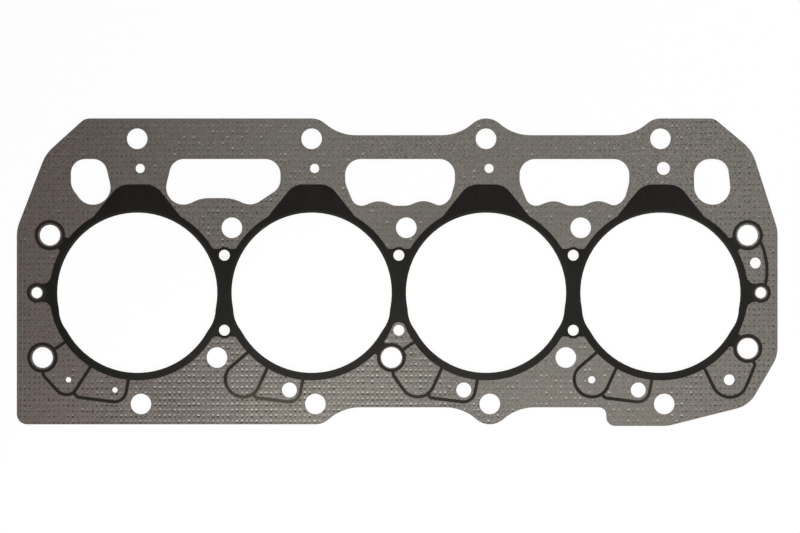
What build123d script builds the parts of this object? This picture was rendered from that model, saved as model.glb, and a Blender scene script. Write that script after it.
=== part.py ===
# Cylinder head gasket for a four-cylinder engine, in millimetres.
# A perforated steel core sits between two pressed fibre facings, a folded steel
# shield seals the four bores, and rubber beads are printed on both faces.
# Frame: the origin is the axis of the left-hand bore at the block face, +X runs
# along the bore row, and +Z points from the block to the cylinder head.
import os
from math import atan2, cos, degrees, hypot, pi, radians, sin, sqrt, tan

from build123d import *

os.makedirs("parts", exist_ok=True)

# Cylinder row
cylinders = 4
bore_d = 85.4
web_w = 7.6  # strip between neighbouring bores at its narrowest
relief_depth = 0.6  # shallow outward reliefs low on both sides of each bore
relief_angle = 20.0  # how far below the bore row the reliefs are centred
relief_r = 18.0
relief_blend_r = 12.0

# Layers, from the block side up
shield_t = 0.12
facing_t = 0.55
core_t = 0.25
bead_h = 0.08
bead_w = 1.7

# Bore shield
flange_w = 4.0  # flange on the head side, outwards from the bore edge
lip_w = 3.4  # narrower lip that is folded over on the block side
fold_r = 0.1  # outer radius of the fold along both edges of each bore
crown_rise = 15.0  # the flange rises this far above the edge of each bore
crown_half_w = 9.6  # half width where the crown's sloping sides reach its top
crown_slope = 51.6
crown_corner_r = 10.5
crown_root_r = 5.0
pad_half_h = 23.35  # the shield fills the webs this far from the bore row
pad_corner_r = 1.4
web_boss_r = 4.35
web_relief_r = 4.35  # arc round the one web hole that the shield leaves open
ear_w = 7.6
ear_root_r = 1.0
lug_half_w = 4.8
lug_root_r = 4.5

# Holes. Each rise or drop is measured up or down from the level of the bores' upper or
# lower edge, each out from the side of a bore, each u along the row from a bore or web
bolt_hole_d = 11.0
top_bolt_rise = 39.4
upper_bolt_u = 4.0
upper_bolt_sink = 8.05  # below the level of the bores' upper edge
lower_bolt_u = -3.95
lower_bolt_sink = 8.15  # above the level of the bores' lower edge
bottom_bolt_u = 2.0
bottom_bolt_drop = 16.6
end_bolt_sink = 12.0
low_end_bolt_sink = 13.0
web_hole_d = 5.8
web_hole_y = 20.0
end_hole_d = 5.8
end_hole_out = 10.8
side_hole_d = 5.8
side_hole_out = 7.9
side_hole_y = 15.85
top_hole_d = 4.9
wide_top_hole_d = 6.9
top_hole_u = 1.6
top_hole_rise = 23.6
port_d = 8.0
port_u = -11.85
port_drop = 9.15
bleed_u = 36.65
bleed_drop = 3.7
bleed_d = 2.9
small_bleed_d = 3.9
large_bleed_d = 5.8

# Outer edge
boss_r = 10.85  # edge round the bolt holes of the top and bottom rows
boss_blend_r = 25.0
top_waist = 8.95  # how far the edge draws in between the bosses
bottom_waist = 9.05
foot_drop = 0.85  # the right-hand foot reaches this far below the bosses
left_end_out = 21.45  # from the side of the first bore to the left edge
right_end_out = 19.7

# Beads printed round the holes
bolt_bead_r = 7.25
tight_bead_r = 6.9
end_bead_r = 4.45

bore_r = bore_d / 2
pitch = bore_d + web_w
bore_x = [pitch * number for number in range(cylinders)]
web_x = [x + pitch / 2 for x in bore_x[:-1]]
last_x = bore_x[-1]
middle = len(web_x) // 2
middle_web_x = web_x[middle]
flange_r = bore_r + flange_w
tiny = 0.001

lower_facing_z = shield_t
core_z = lower_facing_z + facing_t
upper_facing_z = core_z + core_t
head_flange_z = upper_facing_z + facing_t
top_z = head_flange_z + shield_t

top_bolt_y = bore_r + top_bolt_rise
upper_bolt_y = bore_r - upper_bolt_sink
end_bolt_y = bore_r - end_bolt_sink
low_end_bolt_y = low_end_bolt_sink - bore_r
lower_bolt_y = lower_bolt_sink - bore_r
bottom_bolt_y = -bore_r - bottom_bolt_drop
end_hole_u = bore_r + end_hole_out
side_hole_u = bore_r + side_hole_out
top_hole_y = bore_r + top_hole_rise
port_y = -bore_r - port_drop
bleed_y = -bore_r - bleed_drop
top_edge_y = top_bolt_y + boss_r
bottom_edge_y = bottom_bolt_y - boss_r
top_waist_y = top_edge_y - top_waist
bottom_waist_y = bottom_edge_y + bottom_waist
foot_y = bottom_edge_y - foot_drop
left_end_x = -bore_r - left_end_out
right_end_x = last_x + bore_r + right_end_out

top_bolts = [(x, top_bolt_y) for x in bore_x]
bottom_bolts = [(x + bottom_bolt_u, bottom_bolt_y) for x in bore_x]
upper_bolts = [(x + upper_bolt_u, upper_bolt_y) for x in web_x]
lower_bolts = [(x + lower_bolt_u, lower_bolt_y) for x in [-pitch / 2] + web_x]
low_web_bolt = lower_bolts[middle + 1]
left_bolt = (-pitch / 2, end_bolt_y)
right_bolt = (last_x + pitch / 2, end_bolt_y)
low_right_bolt = (last_x + pitch / 2, low_end_bolt_y)
bolts = top_bolts + bottom_bolts + upper_bolts + lower_bolts
bolts = bolts + [left_bolt, right_bolt, low_right_bolt]
left_end_hole = (-end_hole_u, 0)
right_end_hole = (last_x + end_hole_u, 0)
upper_web_holes = [(x, web_hole_y) for x in web_x]
lower_web_holes = [(x, -web_hole_y) for x in web_x]

# Every round hole of the stack but the bores: diameter and places
round_holes = [
    (bolt_hole_d, bolts),
    (web_hole_d, upper_web_holes + lower_web_holes),
    (end_hole_d, [left_end_hole, right_end_hole]),
    (side_hole_d, [(last_x + side_hole_u, side_hole_y)]),
    (top_hole_d, [(x + top_hole_u, top_hole_y) for x in bore_x[:-1]]),
    (wide_top_hole_d, [(last_x + top_hole_u, top_hole_y)]),
    (port_d, [(x + port_u, port_y) for x in bore_x[1:]]),
    (bleed_d, [(port_u, port_y), (-bleed_u, bleed_y)]),
    (small_bleed_d, [(last_x - bleed_u, bleed_y)]),
    (large_bleed_d, [(last_x + bleed_u, bleed_y)]),
]

# Water openings, each as corners: u, rise over the bores' upper edge, corner radius
wide_window = [
    (-27.7, 28.6, 7.6),
    (-33.5, 4.35, 9.1),
    (-19.7, 4.35, 9.0),
    (-12.1, 7.8, 16.0),
    (4.0, 7.8, 18.0),
    (14.5, 3.2, 9.3),
    (29.9, 13.4, 8.0),
    (29.9, 28.6, 8.2),
]
bumped_window = [
    (-28.6, 28.6, 8.3),
    (-28.6, 15.7, 11.0),
    (-23.0, 2.05, 5.7),
    (-10.4, 7.0, 11.5),
    (-2.7, 3.7, 8.6),
    (5.0, 3.7, 9.3),
    (13.0, 7.1, 11.3),
    (21.7, 3.6, 4.5),
    (27.1, 6.0, 8.0),
    (29.9, 16.1, 13.5),
    (29.9, 28.6, 8.3),
]
left_oval = [
    (-35.4, 28.6, 7.6),
    (-35.4, 13.8, 9.5),
    (-28.3, 4.3, 9.0),
    (-11.8, 4.3, 9.2),
    (-17.5, 28.6, 7.6),
]
right_oval = [
    (17.9, 28.6, 8.5),
    (17.9, 4.3, 9.9),
    (38.4, 4.3, 9.3),
    (35.6, 28.6, 7.7),
]


def fitted_radii(points, radii, closed):
    """Corner radii, cut back where two roundings would meet on one side."""
    count = len(points)
    reach = [0.0] * count
    for i in range(count):
        if closed or 0 < i < count - 1:
            before = points[i - 1]
            here = points[i]
            after = points[(i + 1) % count]
            turn = atan2(after[1] - here[1], after[0] - here[0])
            turn -= atan2(here[1] - before[1], here[0] - before[0])
            turn = abs((turn + pi) % (2 * pi) - pi)
            reach[i] = radii[i] * tan(turn / 2)
    share = [1.0] * count
    for i in range(count if closed else count - 1):
        j = (i + 1) % count
        side = hypot(points[j][0] - points[i][0], points[j][1] - points[i][1])
        fit = (side - tiny) / max(reach[i] + reach[j], tiny)
        share[i] = min(share[i], fit)
        share[j] = min(share[j], fit)
    return [radius * part for radius, part in zip(radii, share)]


def near(place, corners):
    """Corners (u, v, radius) that are measured from a place on the sheet."""
    return [(place[0] + u, place[1] + v, radius) for u, v, radius in corners]


def rounded_loop(corners):
    """Closed outline through corners (x, y, radius)."""
    points = [(x, y) for x, y, radius in corners]
    radii = fitted_radii(points, [radius for x, y, radius in corners], True)
    with BuildLine() as outline:
        FilletPolyline(*points, radius=radii, close=True)
    make_face(outline.edges())


def rounded_path(corners):
    """Open path through corners (x, y, radius), with sharp ends."""
    points = [(x, y) for x, y, radius in corners]
    if len(points) == 2:
        return Line(*points)
    radii = fitted_radii(points, [radius for x, y, radius in corners], False)
    return FilletPolyline(*points, radius=radii[1:-1])


def boss_edge(bolt, waist_y, side):
    """Arc round a bolt boss and the hollow arc that leads into the waist line."""
    out = 1 if waist_y > 0 else -1
    hollow_y = waist_y + out * boss_blend_r
    rise = abs(hollow_y - bolt[1])
    run = sqrt((boss_r + boss_blend_r) ** 2 - rise**2)
    lean = degrees(atan2(run, rise))
    if out > 0:
        CenterArc(bolt, boss_r, 90, -side * lean)
        hollow = (bolt[0] + side * run, hollow_y)
        CenterArc(hollow, boss_blend_r, 270, -side * lean)
    else:
        CenterArc(bolt, boss_r, 270, side * lean)
        hollow = (bolt[0] + side * run, hollow_y)
        CenterArc(hollow, boss_blend_r, 90, side * lean)
    return (bolt[0] + side * run, waist_y)


def add_bore(x, grow):
    """One bore with its two side reliefs, grown all round by a metal thickness."""
    offset = bore_r + relief_depth - relief_r
    down = -offset * sin(radians(relief_angle))
    across = offset * cos(radians(relief_angle))
    with BuildSketch(mode=Mode.PRIVATE) as bore:
        with Locations((x, 0)):
            Circle(bore_r + grow)
        with Locations((x - across, down), (x + across, down)):
            Circle(relief_r + grow)
        fillet(bore.vertices(), relief_blend_r - grow)
    return bore.sketch


# Corners of the sheet's two ends, from places on its outline: u, v, radius
left_top = [(-27.9, 0, 7.0)]
left_shoulder = [(-6.1, -18.95, 21.0)]
left_high = [(0, 3.3, 19.0)]
left_low = [(0, 0, 5.5)]
foot_side = [(-28.9, 0, 4.0)]
foot_base = [(-28.9, 0, 4.7), (3.8, 0, 18.0)]
heel = [(4.4, 10.05, 16.0)]
right_low = [(0, -4.1, 17.0)]
right_high = [(0, 2.9, 18.0)]
right_shoulder = [(6.1, -16.95, 21.0)]
right_top = [(28.6, 0, 7.0)]
left_corners = [(top_bolts[1][0], top_edge_y, 0)]
left_corners += near((0, top_edge_y), left_top)
left_corners += near((-bore_r, top_edge_y), left_shoulder)
left_corners += near((left_end_x, end_bolt_y), left_high)
left_corners += near((left_end_x, bottom_edge_y), left_low)
left_corners += [(bottom_bolts[1][0], bottom_edge_y, 0)]
right_corners = near((last_x, bottom_waist_y), foot_side)
right_corners += near((last_x, foot_y), foot_base)
right_corners += near((last_x + bore_r, bottom_edge_y), heel)
right_corners += near((right_end_x, low_end_bolt_y), right_low)
right_corners += near((right_end_x, end_bolt_y), right_high)
right_corners += near((last_x + bore_r, top_edge_y), right_shoulder)
right_corners += near((last_x, top_edge_y), right_top)
right_corners += [(last_x, top_edge_y, 0)]
with BuildSketch() as sheet:
    with BuildLine():
        rounded_path(left_corners)
        for left, right in zip(bottom_bolts[1:-2], bottom_bolts[2:-1]):
            start = boss_edge(left, bottom_waist_y, 1)
            Line(start, boss_edge(right, bottom_waist_y, -1))
        foot_start = boss_edge(bottom_bolts[-2], bottom_waist_y, 1)
        rounded_path([(*foot_start, 0)] + right_corners)
        for left, right in zip(top_bolts[1:-1], top_bolts[2:]):
            start = boss_edge(left, top_waist_y, 1)
            Line(start, boss_edge(right, top_waist_y, -1))
    make_face()

# What is punched through every layer of the stack, all but the bores
with BuildSketch() as openings:
    for diameter, places in round_holes:
        with Locations(*places):
            Circle(diameter / 2)
    rounded_loop(near((web_x[0], bore_r), wide_window))
    for x in web_x[1:]:
        rounded_loop(near((x, bore_r), bumped_window))
    rounded_loop(near((0, bore_r), left_oval))
    rounded_loop(near((last_x, bore_r), right_oval))

# The stack is cut for the folded shield, one metal thickness outside each bore
with BuildSketch() as punched_sheet:
    add(sheet.sketch)
    add(openings.sketch, mode=Mode.SUBTRACT)
    for x in bore_x:
        add(add_bore(x, shield_t), mode=Mode.SUBTRACT)

# Steel core, perforated sheet in the real part
with BuildPart() as steel_core:
    with BuildSketch(Plane.XY.offset(core_z)):
        add(punched_sheet.sketch)
    extrude(amount=core_t)
steel_core.part.label = "steel_core"
export_step(steel_core.part, "parts/steel_core.step")

# Facing sheet on the block side of the core
with BuildPart() as lower_facing:
    with BuildSketch(Plane.XY.offset(lower_facing_z)):
        add(punched_sheet.sketch)
    extrude(amount=facing_t)
lower_facing.part.label = "lower_facing"
export_step(lower_facing.part, "parts/lower_facing.step")

# Facing sheet on the head side, the one that shows
with BuildPart() as upper_facing:
    with BuildSketch(Plane.XY.offset(upper_facing_z)):
        add(punched_sheet.sketch)
    extrude(amount=facing_t)
upper_facing.part.label = "upper_facing"
export_step(upper_facing.part, "parts/upper_facing.step")


def round_corners(radius, wanted):
    """Round the flange's corners that lie on a bore's round edge and are wanted."""
    chosen = []
    for corner in flange.vertices():
        reach = min(hypot(corner.X - x, corner.Y) for x in bore_x)
        if abs(reach - flange_r) < tiny and wanted(corner):
            chosen.append(corner)
    fillet(chosen, radius)


def add_ear(x, bolt):
    """Strip of the flange that reaches from a bore to the bead round a bolt."""
    length = hypot(bolt[0] - x, bolt[1])
    with Locations(Location((x, 0), degrees(atan2(bolt[1], bolt[0] - x)))):
        Rectangle(length, ear_w, align=(Align.MIN, Align.CENTER))
    root_x = x + (bolt[0] - x) * flange_r / length
    root_y = bolt[1] * flange_r / length
    near = 0.6 * ear_w
    round_corners(ear_root_r, lambda spot: hypot(spot.X - root_x, spot.Y - root_y) < near)


# Bead rings, the same on both sides: centre and mean radius of the bead
bead_rings = {
    "left_bolt": (left_bolt, bolt_bead_r),
    "left_end": (left_end_hole, end_bead_r),
    "low_left_bolt": (lower_bolts[0], bolt_bead_r),
    "low_web_bolt": (low_web_bolt, tight_bead_r),
    "low_right_bolt": (low_right_bolt, tight_bead_r),
    "right_bolt": (right_bolt, bolt_bead_r),
    "right_end": (right_end_hole, end_bead_r),
}

# Crown over a bore: a flat top, and sloping sides that end inside the bore's ring at
# their nearest point to the bore's axis
crown_lean = radians(crown_slope)
crown_top = bore_r + crown_rise
crown_reach = crown_half_w * sin(crown_lean) + crown_top * cos(crown_lean)
crown_foot = (crown_reach * sin(crown_lean), crown_reach * cos(crown_lean))
crown = [
    (-crown_foot[0], crown_foot[1], 0),
    (*crown_foot, 0),
    (crown_half_w, crown_top, crown_corner_r),
    (-crown_half_w, crown_top, crown_corner_r),
]

# Outline of the shield's flange on the head side
with BuildSketch() as open_pad:
    with Locations((middle_web_x, 0)):
        Rectangle(pitch, 2 * pad_half_h)
    with Locations((middle_web_x, -pad_half_h)):
        Rectangle(pitch, 2 * (pad_half_h - web_hole_y), mode=Mode.SUBTRACT)
    with Locations((middle_web_x, -web_hole_y)):
        Circle(web_relief_r, mode=Mode.SUBTRACT)
with BuildSketch() as flange:
    with Locations(*[(x, 0) for x in bore_x]):
        Circle(flange_r)
    for x in bore_x:
        rounded_loop(near((x, 0), crown))
    round_corners(crown_root_r, lambda spot: spot.Y > pad_half_h)
    for x in web_x:
        if x == middle_web_x:
            add(open_pad.sketch)
        else:
            with Locations((x, 0)):
                Rectangle(pitch, 2 * pad_half_h)
    round_corners(pad_corner_r, lambda spot: abs(abs(spot.Y) - pad_half_h) < tiny)
    with Locations((-end_hole_u / 2, 0), (last_x + end_hole_u / 2, 0)):
        Rectangle(end_hole_u, 2 * lug_half_w)
    round_corners(lug_root_r, lambda spot: abs(abs(spot.Y) - lug_half_w) < tiny)
    add_ear(bore_x[0], left_bolt)
    add_ear(bore_x[middle], low_web_bolt)
    add_ear(last_x, right_bolt)
    add_ear(last_x, low_right_bolt)
    for x in web_x:
        places = [(x, web_hole_y), (x, -web_hole_y)]
        with Locations(*places[: 1 if x == middle_web_x else 2]):
            Circle(web_boss_r)
    for centre, radius in bead_rings.values():
        with Locations(centre):
            Circle(radius + bead_w / 2, mode=Mode.SUBTRACT)
    add(openings.sketch, mode=Mode.SUBTRACT)
    for x in bore_x:
        add(add_bore(x, 0), mode=Mode.SUBTRACT)

# Folded steel shield: one flange on the head side, a wall through each bore and
# a separate lip turned over at the block side of each bore
with BuildPart() as bore_shield:
    with BuildSketch(Plane.XY.offset(head_flange_z)):
        add(flange.sketch)
    extrude(amount=shield_t)
    for x in bore_x:
        with BuildSketch():
            add(add_bore(x, shield_t))
            add(add_bore(x, 0), mode=Mode.SUBTRACT)
        extrude(amount=top_z)
        with BuildSketch():
            with Locations((x, 0)):
                Circle(bore_r + lip_w)
            add(add_bore(x, 0), mode=Mode.SUBTRACT)
        extrude(amount=shield_t)
    folds = []
    for edge in bore_shield.edges():
        spot = edge @ 0.5
        reach = min(hypot(spot.X - x, spot.Y) for x in bore_x)
        at_face = abs(spot.Z - top_z / 2) > top_z / 2 - tiny
        if at_face and reach < bore_r + relief_depth + tiny:
            folds.append(edge)
    fillet(folds, fold_r)
bore_shield.part.label = "bore_shield"
export_step(bore_shield.part, "parts/bore_shield.step")


def bead_path(corners):
    """Bead of even width along a rounded path of corners (x, y, radius)."""
    with BuildLine() as path:
        rounded_path(corners)
    trace(path.edges(), line_width=bead_w)


# Bead paths as corners (u, v, radius): hooks start at the ring of a lower bolt, and the
# rest are measured from the lower edge of their own bore or from its axis
hook = [(0.15, -6.95, 0), (0.55, -9.55, 2.5)]
hooked_loop = [(-40.6, -11.6, 7.2), (-34.4, -11.6, 5.5), (-23.8, 4.8, 0)]
hung_hook = [(0.55, -6.65, 0), (1.15, -9.65, 2.5)]
hung_loop = [(-41.3, -12.8, 9.6), (-30.6, -12.8, 8.8), (-22.9, 4.1, 0)]
round_loop = [
    (-32.6, 12.1, 0),
    (-46.0, 0.6, 8.2),
    (-46.0, -12.8, 9.5),
    (-30.65, -12.8, 8.8),
    (-22.9, 4.1, 0),
]
port_start = [(-31.9, -10.7, 0), (-29.6, -13.3, 2.5)]
first_port_start = [(-33.9, -10.3, 0), (-32.0, -12.9, 2.5)]
port_loop = [(-7.0, -16.2, 6.4), (-4.3, -1.9, 0)]
foot_loop = [(22.7, 4.0, 0), (30.8, -13.0, 10.0), (43.2, -13.0, 9.1)]
foot_hook = [(3.9, -8.6, 1.2), (2.8, -6.5, 0)]
side_start = [(6.5, -3.1, 0), (8.4, -7.1, 20.0)]
side_end = [(3.8, 13.0, 35.0), (2.3, 3.4, 0)]


def bolt_spur(x, bolt):
    """Bead from the ring of a bolt straight towards a bore's axis."""
    length = hypot(bolt[0] - x, bolt[1])
    reach = bore_r + lip_w / 2
    ring = length - tight_bead_r
    ends = [reach / length, ring / length]
    return [(x + (bolt[0] - x) * end, bolt[1] * end, 0) for end in ends]


# Each connected bead: the rings in it and its paths
side_run = near(right_bolt, side_start) + near(right_end_hole, side_end)
right_foot = near((last_x, -bore_r), foot_loop) + near(low_right_bolt, foot_hook)
bead_tracks = {
    "bead_left_bolt": (["left_bolt"], []),
    "bead_left_end": (["left_end"], []),
    "bead_low_right": (["low_right_bolt"], [right_foot]),
    "bead_right": (["right_bolt", "right_end"], [side_run]),
}
for number, x in enumerate(bore_x):
    bolt = lower_bolts[number]
    low = (x, -bore_r)
    if number == 0:
        loop = near(bolt, hook) + near(low, hooked_loop)
        port = near(low, first_port_start + port_loop)
        track = (["low_left_bolt"], [loop, port, bolt_spur(x, bolt)])
    elif number == middle + 1:
        loop = near(bolt, hung_hook) + near(low, hung_loop)
        port = near(low, port_start + port_loop)
        track = (["low_web_bolt"], [loop, port, bolt_spur(x, bolt)])
    else:
        track = ([], [near(low, round_loop), near(low, port_start + port_loop)])
    bead_tracks[f"bead_cylinder_{number + 1}"] = track

with BuildSketch() as lips:
    with Locations(*[(x, 0) for x in bore_x]):
        Circle(bore_r + lip_w)

# The same beads on both faces, trimmed where the shield lies
sides = {
    "head": (head_flange_z, flange, bead_h),
    "block": (lower_facing_z, lips, -bead_h),
}
for side, (face_z, shield_outline, rise) in sides.items():
    for name, (rings, paths) in bead_tracks.items():
        with BuildPart() as bead:
            with BuildSketch(Plane.XY.offset(face_z)):
                for ring in rings:
                    centre, radius = bead_rings[ring]
                    with Locations(centre):
                        Circle(radius + bead_w / 2)
                        Circle(radius - bead_w / 2, mode=Mode.SUBTRACT)
                for corners in paths:
                    bead_path(corners)
                add(shield_outline.sketch, mode=Mode.SUBTRACT)
            extrude(amount=rise)
        bead.part.label = f"{side}_{name}"
        export_step(bead.part, f"parts/{side}_{name}.step")
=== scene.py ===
# Looks of the cylinder head gasket: pressed facings on a tanged steel core, a black
# coated bore shield and printed beads, seen from above on a white table. In metres.
import random
from math import pi

import bpy
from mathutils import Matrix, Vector, noise


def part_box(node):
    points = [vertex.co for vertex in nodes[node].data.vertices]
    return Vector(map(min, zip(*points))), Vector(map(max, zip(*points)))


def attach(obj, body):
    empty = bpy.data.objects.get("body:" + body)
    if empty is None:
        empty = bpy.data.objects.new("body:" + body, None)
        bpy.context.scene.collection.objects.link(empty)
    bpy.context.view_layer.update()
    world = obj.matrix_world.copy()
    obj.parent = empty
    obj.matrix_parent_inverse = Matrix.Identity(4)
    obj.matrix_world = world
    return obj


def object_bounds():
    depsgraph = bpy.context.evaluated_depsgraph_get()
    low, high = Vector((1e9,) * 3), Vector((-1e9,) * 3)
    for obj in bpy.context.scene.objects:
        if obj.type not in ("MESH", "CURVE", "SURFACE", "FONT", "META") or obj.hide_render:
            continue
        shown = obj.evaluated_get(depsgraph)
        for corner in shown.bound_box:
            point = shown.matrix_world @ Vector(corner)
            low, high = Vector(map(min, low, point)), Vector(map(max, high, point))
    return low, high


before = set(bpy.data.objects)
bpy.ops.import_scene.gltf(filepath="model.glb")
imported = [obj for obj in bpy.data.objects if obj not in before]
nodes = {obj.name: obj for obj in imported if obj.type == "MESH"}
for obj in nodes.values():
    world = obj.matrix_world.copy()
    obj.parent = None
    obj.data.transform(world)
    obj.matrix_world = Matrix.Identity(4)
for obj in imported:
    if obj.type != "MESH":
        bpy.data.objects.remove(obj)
bpy.ops.object.select_all(action="DESELECT")
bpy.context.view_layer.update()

# Steel core. Bare cold-rolled sheet, pierced on an even grid so that the facings hold
# on to it. Only its punched edge shows, as a thin bright line between the facings at
# every hole and along the outer edge.
mm = 0.001
rolling_size = 0.5 * mm
rolling_stretch = (1, 1, 12)
core_dark = (0.30, 0.30, 0.31, 1)
core_bright = (0.48, 0.48, 0.49, 1)
core_rough, rolling_rough = 0.30, 0.2


class Term:
    """One value of a material, so that shader maths is written as plain sums."""

    def __init__(self, finish, socket):
        self.finish = finish
        self.socket = socket

    def maths(self, operation, first, second):
        return self.finish.add("Math", {"operation": operation}, {0: first, 1: second})

    def __add__(self, other):
        return self.maths("ADD", self, other)

    def __radd__(self, other):
        return self.maths("ADD", other, self)

    def __sub__(self, other):
        return self.maths("SUBTRACT", self, other)

    def __rsub__(self, other):
        return self.maths("SUBTRACT", other, self)

    def __mul__(self, other):
        return self.maths("MULTIPLY", self, other)

    def __rmul__(self, other):
        return self.maths("MULTIPLY", other, self)


class Finish:
    """A material being made: its surface shader and the one way to add a node."""

    # Where a soft spot starts and where it is full, in reaches from its middle.
    spot_edge = (1.15, 0.45)
    # A speck is full, and a cell surely has one, at these shares of their limits.
    speck_full = 0.6
    speck_sure = 0.9

    def __init__(self, name):
        self.material = bpy.data.materials.new(name)
        self.material.use_nodes = True
        self.tree = self.material.node_tree
        self.surface = self.tree.nodes["Principled BSDF"]
        self.place = self.add("TexCoord", {}, {}, "Object")

    def add(self, kind, settings, inputs, output=0):
        """Adds a node with its settings and socket values, and gives one output."""
        node = self.tree.nodes.new("ShaderNode" + kind)
        for setting, value in settings.items():
            setattr(node, setting, value)
        for name, value in inputs.items():
            self.feed(node.inputs[name], value)
        return Term(self, node.outputs[output])

    def feed(self, socket, value):
        if isinstance(value, Term):
            self.tree.links.new(value.socket, socket)
        else:
            socket.default_value = value

    def set(self, **inputs):
        """Feeds sockets of the surface shader, with _ for a space in their names."""
        for name, value in inputs.items():
            self.feed(self.surface.inputs[name.replace("_", " ")], value)

    def along(self, axis):
        """The place along X, Y or Z."""
        return self.add("SeparateXYZ", {}, {"Vector": self.place}, axis)

    def vector(self, operation, first, second=(0, 0, 0), output="Vector"):
        inputs = {0: first, 1: second}
        return self.add("VectorMath", {"operation": operation}, inputs, output)

    def length(self, vector):
        return self.vector("LENGTH", vector, output="Value")

    def ramp(self, value, start, end):
        """Smooth step: 0 at start and 1 at end."""
        inputs = {"Value": value, "From Min": start, "From Max": end}
        return self.add("MapRange", {"interpolation_type": "SMOOTHSTEP"}, inputs)

    def blend(self, share, first, second, how="MIX"):
        """Colour mix: the first at 0 and the second at 1."""
        settings = {"data_type": "RGBA", "blend_type": how}
        return self.add("Mix", settings, {0: share, 6: first, 7: second}, 2)

    def tinted(self, colour, tint):
        return self.blend(1.0, colour, tint, "MULTIPLY")

    def bump(self, height, depth):
        inputs = {"Strength": 1.0, "Distance": depth, "Height": height}
        return self.add("Bump", {}, inputs)

    def stretched(self, stretch):
        return self.add("Mapping", {}, {"Vector": self.place, "Scale": stretch})

    def noise(self, size, detail, roughness, stretch=(1, 1, 1)):
        """Soft noise from 0 to 1 whose lumps are about one size across."""
        inputs = {"Vector": self.stretched(stretch), "Scale": 1 / size}
        inputs |= {"Detail": detail, "Roughness": roughness}
        return self.add("TexNoise", {}, inputs)

    def specks(self, size, share, chance, stretch=(1, 1, 1)):
        """Scattered specks: 1 inside a speck, 0 outside, in some of the cells only."""
        inputs = {"Vector": self.stretched(stretch), "Scale": 1 / size}
        near = self.add("TexVoronoi", {}, inputs, "Distance")
        colour = self.add("TexVoronoi", {}, inputs, "Color")
        draw = self.add("SeparateColor", {}, {"Color": colour}, "Red")
        inside = self.ramp(near, share, share * self.speck_full)
        return inside * self.ramp(draw, chance, chance * self.speck_sure)

    def grid(self, place, first, pitch):
        """An even grid: a random draw for each place and the offset from its middle."""
        place = self.vector("SUBTRACT", place, first)
        steps = self.vector("DIVIDE", place, pitch)
        rounded = self.vector("FLOOR", self.vector("ADD", steps, (0.5, 0.5, 0.5)))
        offset = self.vector("SUBTRACT", place, self.vector("MULTIPLY", rounded, pitch))
        draw = self.add("TexWhiteNoise", {}, {"Vector": rounded})
        return draw, offset

    def spot(self, place, middle, reach):
        """Soft oval spot: 1 in its middle and 0 a little past its reach."""
        near = self.vector("SUBTRACT", place, middle)
        near = self.vector("MULTIPLY", near, (1 / reach[0], 1 / reach[1], 0))
        return self.ramp(self.length(near), *self.spot_edge)

    def spots(self, rows):
        """The sum of soft spots on the piece, from rows of middle, reach and share."""
        return sum(self.spot(self.place, *oval) * share for *oval, share in rows)


def dress(names, finish):
    """Gives CAD nodes their finish."""
    for name in names:
        nodes[name].data.materials.clear()
        nodes[name].data.materials.append(finish.material)


core = Finish("bare_core_steel")
rolling = core.noise(rolling_size, detail=2.0, roughness=0.5, stretch=rolling_stretch)
core.set(Base_Color=core.blend(rolling, core_dark, core_bright))
core.set(Metallic=1.0, Roughness=core_rough + rolling * rolling_rough)
dress(["steel_core"], core)

# Facing sheets, one on each side of the core. Graphite and mineral fibre are rolled on
# in a thin layer and pressed, which leaves a dull warm grey with a fine felted grain,
# loose pale fibres and a small pit over each of the core's holes.
facing_dark = (0.048, 0.0435, 0.0380, 1)
facing_mean = (0.1475, 0.134, 0.117, 1)
facing_pale = (0.249, 0.226, 0.198, 1)
fibre_pale = (0.34, 0.315, 0.28, 1)
# Painted shade in the pit over each core hole.
pit_painted_shade = (0.022, 0.019, 0.016, 1)
cool_patch = (0.967, 1.0, 0.98, 1)
warm_patch = (1.033, 0.997, 1.005, 1)
# Darker and browner at the left end: the darkening is painted shade.
shaded_brown_end = (0.71, 0.610, 0.625, 1)
grey_end = (1, 1, 1, 1)

felt_size = 0.55 * mm
felt_contrast = (0.34, 0.66)
cloud_size = 16 * mm
mottle_size = 9 * mm
mottle_contrast = (0.35, 0.65)
fibre_cell = 1.7 * mm
fibre_stretch = (1, 0.4, 1)

# How far the felted grain is evened out to the mean grey on plain sheet, and how much
# more or less in each kind of place. Then how much the loose fibres show.
even_plain, even_cloud, even_smooth = 0.38, 0.2, 0.25
even_marked, even_pressed, even_harsh = 0.1, 0.34, 0.32
fibre_plain, fibre_pressed = 0.15, 0.35

# The relief, in shares of its depth: the felt and the fibres stand up, and the sheet
# drops over a hole and in its pit.
relief_depth = 1 * mm
felt_height, felt_pressed, fibre_height = 0.015, 0.02, 0.01
sink_drop, pit_drop = 0.09, 0.05
facing_rough, felt_rough = 0.55, 0.2

# The core's holes lie on this grid. Each hole's tang is bent towards +y, and the
# facing sinks a little over the hole, just below the tang's tip.
tang_first = (37.9 * mm, -50.0 * mm, 0)
tang_pitch = (2.575 * mm, 3.023 * mm, 1)
pit_middle = (0, -1.12 * mm, 0)
pit_reach = (0.76 * mm, 0.64 * mm)
slot_reach = (1.15 * mm, 0.50 * mm)
sink_middle = (0, -0.55 * mm, 0)
sink_reach = (0.95 * mm, 0.90 * mm)
pit_wander = 0.40 * mm
pit_wander_size = 1.3 * mm

# How deep a pit is on plain sheet, and how much more or less in each kind of place.
# Each pit draws its own share of that. Where the sheet was pressed hard it is more of
# a slot than a round.
pit_plain, pit_marked, pit_smooth, pit_pressed = 0.50, 0.46, 0.12, 0.48
pit_least, pit_drawn = 0.20, 0.75
round_pressed, slot_pressed = 0.35, 0.5

# The sheet was pressed hardest below the middle bores. The edge of that place is
# ragged, and press_edge says in reaches where it starts and where it is full.
press_middle = (84 * mm, -65 * mm, 0)
press_reach = (112 * mm, 75 * mm, 1)
press_edge = (1.45, 0.75)
press_patch = 30 * mm
press_ragged = 0.5

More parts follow.
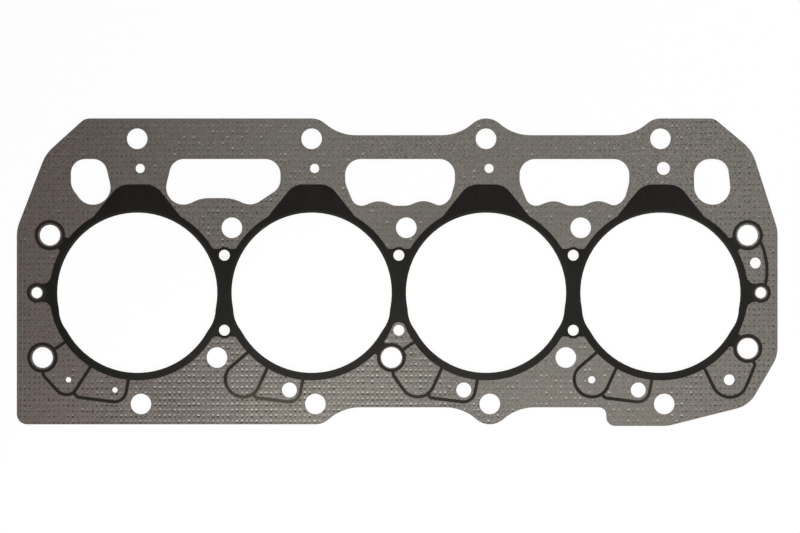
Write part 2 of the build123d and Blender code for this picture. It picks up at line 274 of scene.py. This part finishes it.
# Where the pits show more, where they show less, where the grain is harsher, and where
# the grey is darker or paler. Each row is a soft oval's middle, reach and share.
low_left = ((-36 * mm, -62 * mm, 0), (58 * mm, 30 * mm))
second_top = ((153 * mm, 27 * mm, 0), (30 * mm, 24 * mm))
pitted = [((46 * mm, 46 * mm, 0), (44 * mm, 40 * mm), 1.0), (*low_left, 0.6)]
harsh = [
    ((282 * mm, 66 * mm, 0), (54 * mm, 40 * mm), 1.0),
    ((150 * mm, 80 * mm, 0), (36 * mm, 18 * mm), 1.0),
]
darker = [
    (*second_top, 0.20),
    ((64 * mm, 28 * mm, 0), (44 * mm, 30 * mm), 0.12),
    ((185 * mm, 48 * mm, 0), (130 * mm, 52 * mm), 0.045),
]
paler = [
    ((98 * mm, -54 * mm, 0), (62 * mm, 46 * mm), 0.20),
    ((275 * mm, -48 * mm, 0), (100 * mm, 36 * mm), 0.10),
    (*low_left, 0.10),
    ((127 * mm, -14 * mm, 0), (15 * mm, 22 * mm), 0.16),
]

# From where to where along x the pits grow towards each end and the sheet turns from a
# darker brown to grey, and how far the clouds shift that. The darkening is painted shade.
pitted_right = (285 * mm, 315 * mm)
pitted_drift = 30 * mm
pitted_left = (30 * mm, -30 * mm)
pitted_left_share = 0.55
shaded_brown_to_grey = (-50 * mm, 130 * mm)
brown_drift = 50 * mm


def pressing(finish):
    """How hard the sheet was pressed on the core, from 0 to 1."""
    apart = finish.vector("SUBTRACT", finish.place, press_middle)
    apart = finish.length(finish.vector("DIVIDE", apart, press_reach))
    patch = finish.noise(press_patch, detail=2.0, roughness=0.5)
    return finish.ramp(apart + patch * press_ragged, *press_edge)


facing = Finish("pressed_facing")
across = facing.along("X")
felt = facing.noise(felt_size, detail=3.0, roughness=0.70)
cloud = facing.noise(cloud_size, detail=3.0, roughness=0.5)
pressed = pressing(facing)
smooth = facing.spot(facing.place, *second_top)
marked = facing.ramp(across + cloud * pitted_drift, *pitted_right)
marked = marked + facing.spots(pitted)
marked = marked + facing.ramp(across, *pitted_left) * pitted_left_share

# Each pit lies a little off its place on the grid, by a noise that moves it both ways.
wander_inputs = {"Vector": facing.place, "Scale": 1 / pit_wander_size}
wander = facing.add("TexNoise", {}, wander_inputs, "Color")
wander = facing.vector("SUBTRACT", wander, (0.5, 0.5, 0.5))
wander = facing.vector("MULTIPLY", wander, (pit_wander * 2, pit_wander * 2, 0))
pit_place = facing.vector("ADD", facing.place, wander)
draw, offset = facing.grid(pit_place, tang_first, tang_pitch)
pit = facing.spot(offset, pit_middle, pit_reach) * (1 - pressed * round_pressed)
pit = pit + facing.spot(offset, pit_middle, slot_reach) * pressed * slot_pressed
sink = facing.spot(offset, sink_middle, sink_reach)
depth = pit_plain + marked * pit_marked - smooth * pit_smooth + pressed * pit_pressed
depth = (pit_least + draw * pit_drawn) * depth

grey = facing.blend(facing.ramp(felt, *felt_contrast), facing_dark, facing_pale)
even = even_plain + cloud * even_cloud + smooth * even_smooth
even = even - marked * even_marked - pressed * even_pressed
grey = facing.blend(even - facing.spots(harsh) * even_harsh, grey, facing_mean)
grey = facing.blend(facing.spots(darker), grey, facing_dark)
grey = facing.blend(facing.spots(paler), grey, facing_pale)
mottle = facing.noise(mottle_size, detail=2.0, roughness=0.5)
mottle = facing.ramp(mottle, *mottle_contrast)
grey = facing.tinted(grey, facing.blend(mottle, cool_patch, warm_patch))
# The left end is tinted browner and darker, and the darkening is painted shade.
drift = facing.ramp(across + cloud * brown_drift, *shaded_brown_to_grey)
grey = facing.tinted(grey, facing.blend(drift, shaded_brown_end, grey_end))
fibres = facing.specks(fibre_cell, share=0.14, chance=0.35, stretch=fibre_stretch)
grey = facing.blend(fibres * (fibre_plain + pressed * fibre_pressed), grey, fibre_pale)
# Painted shade darkens each pit, more where the pit is deeper.
grey = facing.blend(pit * depth, grey, pit_painted_shade)
relief = felt * (felt_height + pressed * felt_pressed) + fibres * fibre_height
relief = relief - (sink * sink_drop + pit * pit_drop) * depth
facing.set(Base_Color=grey, Roughness=facing_rough + felt * felt_rough)
facing.set(Normal=facing.bump(relief, relief_depth))
dress(["upper_facing", "lower_facing"], facing)

# Tips of the core's tangs. Each pierced hole of the steel core leaves a short tongue
# that is bent over into the facing, and its blunt end shows through both faces,
# smeared with graphite, and many tips are painted pale as a painted highlight.
# Pale colour of the painted highlight on the tips.
tip_highlight_pale = (0.48, 0.451, 0.41, 1)
smear_size = 0.5 * mm

# A tip is an oval with these two radii, set a little into the face. Each step draws it
# in, moves it along y and raises it.
tang_radii = (0.62 * mm, 0.42 * mm)
tang_corners = 12
tang_steps = [(0.15 * mm, 0.06 * mm, 0.040 * mm), (0.12 * mm, 0.03 * mm, 0.020 * mm)]
tang_sink = 0.004 * mm

# A tip keeps clear of the beads, the shield and the openings, and chance moves it off
# its place on the grid and sizes it.
tang_clear = 0.5 * mm
tang_wander = 0.16 * mm
tang_sizes = (0.82, 1.12)
tang_seed = 7
chance = random.Random(tang_seed)

# What share of the tangs comes through: all where the sheet was pressed hard, about six
# in ten in most places, few above the third bore and hardly any near the left end. A
# share falls, or above the third bore rises, by so much with each reach from its place.
hard_share, hard_fall = 2.4, 2.0
last_low = ((220 * mm, -60 * mm), (90 * mm, 50 * mm))
low_share, low_fall = 0.62, 0.35
third_top = ((200 * mm, 70 * mm), (70 * mm, 50 * mm))
top_most, top_rise = 0.6, 0.4
left_end = 20 * mm
left_share = 0.1
patch_size = 25 * mm
patch_share = 0.2

# Where the tips get more painted highlight, as rows of middle, reach and share, and how
# the painted highlight grows from the left end to the middle and fades again at the right
# end.
more_tip_highlight = [
    ((78 * mm, -56 * mm, 0), (42 * mm, 30 * mm), 0.16),
    ((260 * mm, -56 * mm, 0), (58 * mm, 26 * mm), 0.34),
    ((262 * mm, 70 * mm, 0), (50 * mm, 30 * mm), 0.20),
]
tip_highlight_grows = (-30 * mm, 70 * mm)
tip_highlight_fades = (335 * mm, 275 * mm)
tip_highlight_ends, tip_highlight_middle, tip_highlight_pressed = 0.42, 0.40, 0.55
tip_highlight_contrast = (0.0, 1.3)
tip_highlight_most = 0.96
tip_rough, shine_polish = 0.5, 0.1


def reaches(x, y, middle, reach):
    """How many reaches a point lies from the middle of an oval place."""
    return Vector(((x - middle[0]) / reach[0], (y - middle[1]) / reach[1])).length


def comes_through(x, y):
    """True where a tang comes through: by chance, and by how hard it was pressed there."""
    hard = hard_share - hard_fall * reaches(x, y, press_middle, press_reach)
    low = low_share - low_fall * reaches(x, y, *last_low)
    top = min(top_most, top_rise * reaches(x, y, *third_top))
    patch = noise.noise(Vector((x, y, 0)) / patch_size)
    elsewhere = (top if x > left_end else left_share) + patch_share * patch
    return chance.random() < max(hard, low, elsewhere)


def shows(sheet, covers, x, y, side):
    """True where the facing is bare at that point: no hole, no shield and no bead."""
    origin, way = Vector((x, y, side)), Vector((0, 0, -side))
    if not sheet.ray_cast(origin, way)[0]:
        return False
    return not any(cover.ray_cast(origin, way)[0] for cover in covers)


def add_tangs(name, sheet_name, bead_name, side):
    """Tongue tips over one face: side is 1 for the head side, -1 for the block side."""
    low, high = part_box(sheet_name)
    skip = [int((tang_first[n] - low[n]) / tang_pitch[n]) for n in (0, 1)]
    start = [tang_first[n] - skip[n] * tang_pitch[n] for n in (0, 1)]
    columns, rows = [int((high[n] - start[n]) / tang_pitch[n]) + 1 for n in (0, 1)]
    level = high.z - tang_sink if side > 0 else low.z + tang_sink

    # One tip: an oval, drawn in and raised twice and leaning towards +y.
    bpy.ops.mesh.primitive_circle_add(
        vertices=tang_corners,
        radius=tang_radii[0],
        fill_type="NGON",
        location=(*start, level),
        rotation=(0 if side > 0 else pi, 0, 0),
    )
    tangs = bpy.context.object
    tangs.name = name
    tangs.scale = (1, tang_radii[1] / tang_radii[0], 1)
    bpy.ops.object.transform_apply()
    bpy.ops.object.mode_set(mode="EDIT")
    bpy.ops.mesh.select_mode(type="FACE")
    for inset, along, lift in tang_steps:
        bpy.ops.mesh.inset(thickness=inset)
        bpy.ops.transform.translate(value=(0, along, lift * side))
    bpy.ops.mesh.select_all(action="DESELECT")
    bpy.ops.object.mode_set(mode="OBJECT")

    # A copy for each hole of the core.
    faces, corners = len(tangs.data.polygons), len(tangs.data.vertices)
    steps = ((columns, (tang_pitch[0], 0, 0)), (rows, (0, tang_pitch[1], 0)))
    for count, step in steps:
        array = tangs.modifiers.new("grid", "ARRAY")
        array.count = count
        array.use_relative_offset = False
        array.use_constant_offset = True
        array.constant_offset_displace = step
        bpy.ops.object.modifier_apply(modifier=array.name)

    # The tips that come through on bare facing are moved and sized a little by chance,
    # and the others are deleted.
    sheet = nodes[sheet_name]
    covers = [nodes["bore_shield"]]
    covers += [nodes[node] for node in nodes if node.startswith(bead_name)]
    reach = tang_radii[0] + tang_clear
    around = [(0, 0), (reach, 0), (-reach, 0), (0, reach), (0, -reach)]
    for place in range(rows * columns):
        x = start[0] + place % columns * tang_pitch[0]
        y = start[1] + place // columns * tang_pitch[1]
        bare = comes_through(x, y)
        bare = bare and all(shows(sheet, covers, x + u, y + v, side) for u, v in around)
        for face in range(place * faces, (place + 1) * faces):
            tangs.data.polygons[face].select = not bare
        middle = Vector((x, y, level))
        moved = Vector([chance.uniform(-tang_wander, tang_wander) for n in (0, 1)] + [0])
        size = chance.uniform(*tang_sizes)
        for corner in range(place * corners, (place + bare) * corners):
            point = tangs.data.vertices[corner]
            point.co = middle + moved + (point.co - middle) * size
    bpy.ops.object.mode_set(mode="EDIT")
    bpy.ops.mesh.delete(type="FACE")
    bpy.ops.object.mode_set(mode="OBJECT")
    bpy.ops.object.shade_smooth()
    tangs.data.materials.append(highlit_tip.material)
    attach(tangs, "root")


highlit_tip = Finish("tang_tip_painted_highlight")
tip_x = highlit_tip.along("X")
tip_draw = highlit_tip.grid(highlit_tip.place, tang_first, tang_pitch)[0]
tip_highlight = highlit_tip.ramp(tip_x, *tip_highlight_grows) * highlit_tip.ramp(tip_x, *tip_highlight_fades)
tip_highlight = tip_draw * tip_draw * (tip_highlight_ends + tip_highlight * tip_highlight_middle)
tip_highlight = tip_highlight + pressing(highlit_tip) * tip_highlight_pressed + highlit_tip.spots(more_tip_highlight)
tip_highlight = highlit_tip.ramp(tip_highlight, *tip_highlight_contrast)
smear = highlit_tip.noise(smear_size, detail=2.0, roughness=0.6)
smear = highlit_tip.blend(smear, facing_dark, facing_pale)
# The tips are painted pale as a painted highlight where that mask is high.
highlit_tip.set(Base_Color=highlit_tip.blend(tip_highlight * tip_highlight_most, smear, tip_highlight_pale))
highlit_tip.set(Roughness=tip_rough - tip_highlight * shine_polish)

add_tangs("head_tang_tips", "upper_facing", "head_bead", 1)
add_tangs("block_tang_tips", "lower_facing", "block_bead", -1)

# Bore shield. Thin steel folded round the edge of each bore and coated black on both
# sides, satin, with a faint orange peel, a few dust specks and light rubs. It is greyer
# low down and blackest on the crowns, and the fold is painted grey as a painted highlight.
bore_pitch = 93.0 * mm
fold_from, fold_to = 44.4 * mm, 43.4 * mm
fold_highlight_rises = (0.0, 28 * mm)
peel_size = 0.7 * mm
peel_depth = 0.006 * mm
haze_size = 26 * mm
haze_contrast = (0.40, 0.80)
streak_size = 0.8 * mm
streak_stretch = (1, 0.07, 1)
streak_contrast = (0.52, 0.75)
dust_cell = 3.4 * mm
coat_black = (0.0062, 0.0048, 0.0030, 1)
coat_hazy = (0.0100, 0.0081, 0.0055, 1)
coat_dull = (0.020, 0.0182, 0.0152, 1)
coat_crown = (0.0040, 0.0034, 0.0028, 1)
# Grey of the painted highlight on the fold.
coat_fold_highlight = (0.034, 0.032, 0.028, 1)
coat_streak = (0.022, 0.021, 0.019, 1)
coat_dust = (0.10, 0.095, 0.085, 1)
dull_down = (45 * mm, 5 * mm)
dull_across = (-20 * mm, 120 * mm)
dull_third = [((192 * mm, -44 * mm, 0), (44 * mm, 14 * mm), 0.3)]
dull_low, dull_pressed = 0.2, 0.36
crown_up = (38 * mm, 50 * mm)
crown_across = (30 * mm, 290 * mm)
fold_highlight_least, fold_highlight_more = 0.10, 0.34
crown_share, streak_share, dust_share = 0.85, 0.25, 0.5
coat_rough, haze_rough, peel_rough = 0.52, 0.08, 0.06

shield = Finish("black_coated_shield")
shield_x, shield_y = shield.along("X"), shield.along("Y")
peel = shield.noise(peel_size, detail=2.0, roughness=0.5)
haze = shield.noise(haze_size, detail=3.0, roughness=0.55)
haze = shield.ramp(haze, *haze_contrast)
streak = shield.noise(streak_size, detail=2.0, roughness=0.6, stretch=streak_stretch)
streak = shield.ramp(streak, *streak_contrast)
dust = shield.specks(dust_cell, share=0.09, chance=0.2)
dull = shield.ramp(shield_y, *dull_down) * shield.ramp(shield_x, *dull_across)
dull = dull * dull_low + pressing(shield) * dull_pressed + shield.spots(dull_third)
crown = shield.ramp(shield_y, *crown_up) * shield.ramp(shield_x, *crown_across)
from_bore = shield.grid(shield.place, (0, 0, 0), (bore_pitch, 1, 1))[1]
from_bore = shield.length(shield.vector("MULTIPLY", from_bore, (1, 1, 0)))
# Painted highlight on the fold round each bore, stronger on the upper side of the bore.
fold_highlight = shield.ramp(from_bore, fold_from, fold_to)
fold_highlight = fold_highlight * (fold_highlight_least + shield.ramp(shield_y, *fold_highlight_rises) * fold_highlight_more)

coat = shield.blend(haze, coat_black, coat_hazy)
coat = shield.blend(dull, coat, coat_dull)
coat = shield.blend(crown * crown_share, coat, coat_crown)
coat = shield.blend(fold_highlight, coat, coat_fold_highlight)
coat = shield.blend(streak * streak_share, coat, coat_streak)
coat = shield.blend(dust * dust_share, coat, coat_dust)
shield.set(Base_Color=coat)
shield.set(Roughness=coat_rough + haze * haze_rough + peel * peel_rough)
shield.set(Specular_IOR_Level=0.19, Normal=shield.bump(peel, peel_depth))
dress(["bore_shield"], shield)

# Printed beads. A dark elastomer is screened on both faces in even tracks and cured,
# matte, with a slightly grainy skin. Where the print is thin, the facing shows through
# a little and the bead looks browner.
print_grain = 0.35 * mm
print_relief = 0.02 * mm
print_dark = (0.0082, 0.0058, 0.0040, 1)
print_light = (0.0160, 0.0120, 0.0088, 1)
print_thin = (0.066, 0.0515, 0.038, 1)
print_thick = (0.0050, 0.0034, 0.0024, 1)
thin_middle = [((84 * mm, -68 * mm, 0), (88 * mm, 22 * mm), 0.80)]
thin_right = [((284 * mm, -60 * mm, 0), (24 * mm, 20 * mm), 0.3)]
thick_places = [
    ((-34 * mm, -50 * mm, 0), (62 * mm, 34 * mm), 0.5),
    ((240 * mm, -46 * mm, 0), (24 * mm, 26 * mm), 0.5),
]

bead = Finish("printed_bead")
grain = bead.noise(print_grain, detail=2.0, roughness=0.6)
tone = bead.blend(grain, print_dark, print_light)
tone = bead.blend(bead.spots(thin_middle), tone, print_thin)
tone = bead.blend(bead.spots(thick_places), tone, print_thick)
tone = bead.blend(bead.spots(thin_right), tone, print_thin)
bead.set(Base_Color=tone, Roughness=0.60, Specular_IOR_Level=0.25)
bead.set(Normal=bead.bump(grain, print_relief))
dress([name for name in nodes if "_bead_" in name], bead)

# White table under the gasket, with a raised rim far away that closes the view at low
# angles. Seen directly it is plain white, and it still takes the gasket's shadow.
sheet_low, sheet_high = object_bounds()
view_centre = Vector((140.12 * mm, 14.0 * mm, 0))
table_size = 24.0
table_rim = 3.0
table_gap = 0.02 * mm
table_grey = (0.95, 0.95, 0.95, 1)
table_white = (1, 1, 1, 1)
table_glow = 0.94

table_place = (view_centre.x, 0, sheet_low.z - table_gap)
bpy.ops.mesh.primitive_plane_add(size=table_size, location=table_place)
table = bpy.context.object
table.name = "table"
bpy.ops.object.mode_set(mode="EDIT")
bpy.ops.mesh.select_mode(type="EDGE")
bpy.ops.mesh.extrude_edges_move(TRANSFORM_OT_translate={"value": (0, 0, table_rim)})
bpy.ops.object.mode_set(mode="OBJECT")

cover = Finish("white_table")
cover.set(Base_Color=table_grey, Roughness=0.6)
plain = Term(cover, cover.surface.outputs[0])
white = cover.add("Emission", {}, {"Color": table_white, "Strength": 1.0})
rays = ("Is Camera Ray", "Is Glossy Ray", "Is Transmission Ray")
seen = cover.ramp(sum(cover.add("LightPath", {}, {}, ray) for ray in rays), 0, 1)
lit = cover.add("MixShader", {}, {0: seen * table_glow, 1: plain, 2: white})
output = cover.tree.nodes["Material Output"]
cover.feed(output.inputs["Surface"], lit)
table.data.materials.append(cover.material)

# Lamps. A soft key lamp stands low in front of the second bore, one far back on the
# right lights the gasket about half as much, and an even white room fills the rest.
room_white = (1, 1, 1, 1)
room_strength = 0.28


def add_lamp(name, place, aim, size, power):
    bpy.ops.object.light_add(type="AREA", location=place)
    lamp = bpy.context.object
    lamp.name = name
    lamp.data.shape = "SQUARE"
    lamp.data.size = size
    lamp.data.energy = power
    facing_way = Vector(aim) - Vector(place)
    lamp.rotation_euler = facing_way.to_track_quat("-Z", "Y").to_euler()


key_place, key_aim = (0.11, -0.34, 0.24), (0.12, -0.02, 0)
fill_place, fill_aim = (0.65, 0.45, 0.60), (0.25, 0.0, 0)
add_lamp("key_lamp", key_place, key_aim, size=0.20, power=1.71)
add_lamp("side_fill", fill_place, fill_aim, size=0.35, power=4.2)

world = bpy.data.worlds.new("studio")
bpy.context.scene.world = world
world.use_nodes = True
room = world.node_tree.nodes["Background"]
room.inputs["Color"].default_value = room_white
room.inputs["Strength"].default_value = room_strength

# Camera. It looks straight down on the head side through a long lens, and the width
# that it sees at the upper face of the gasket sets that lens. Film and lens are in mm.
view_width = 426.4 * mm
camera_height = 1.6
film_width = 36

bpy.ops.object.camera_add(location=(view_centre.x, view_centre.y, camera_height))
camera = bpy.context.object
camera.rotation_euler = (0, 0, 0)
camera.data.sensor_width = film_width
camera.data.lens = film_width * (camera_height - sheet_high.z) / view_width
bpy.context.scene.camera = camera
bpy.context.scene.view_settings.view_transform = "Standard"
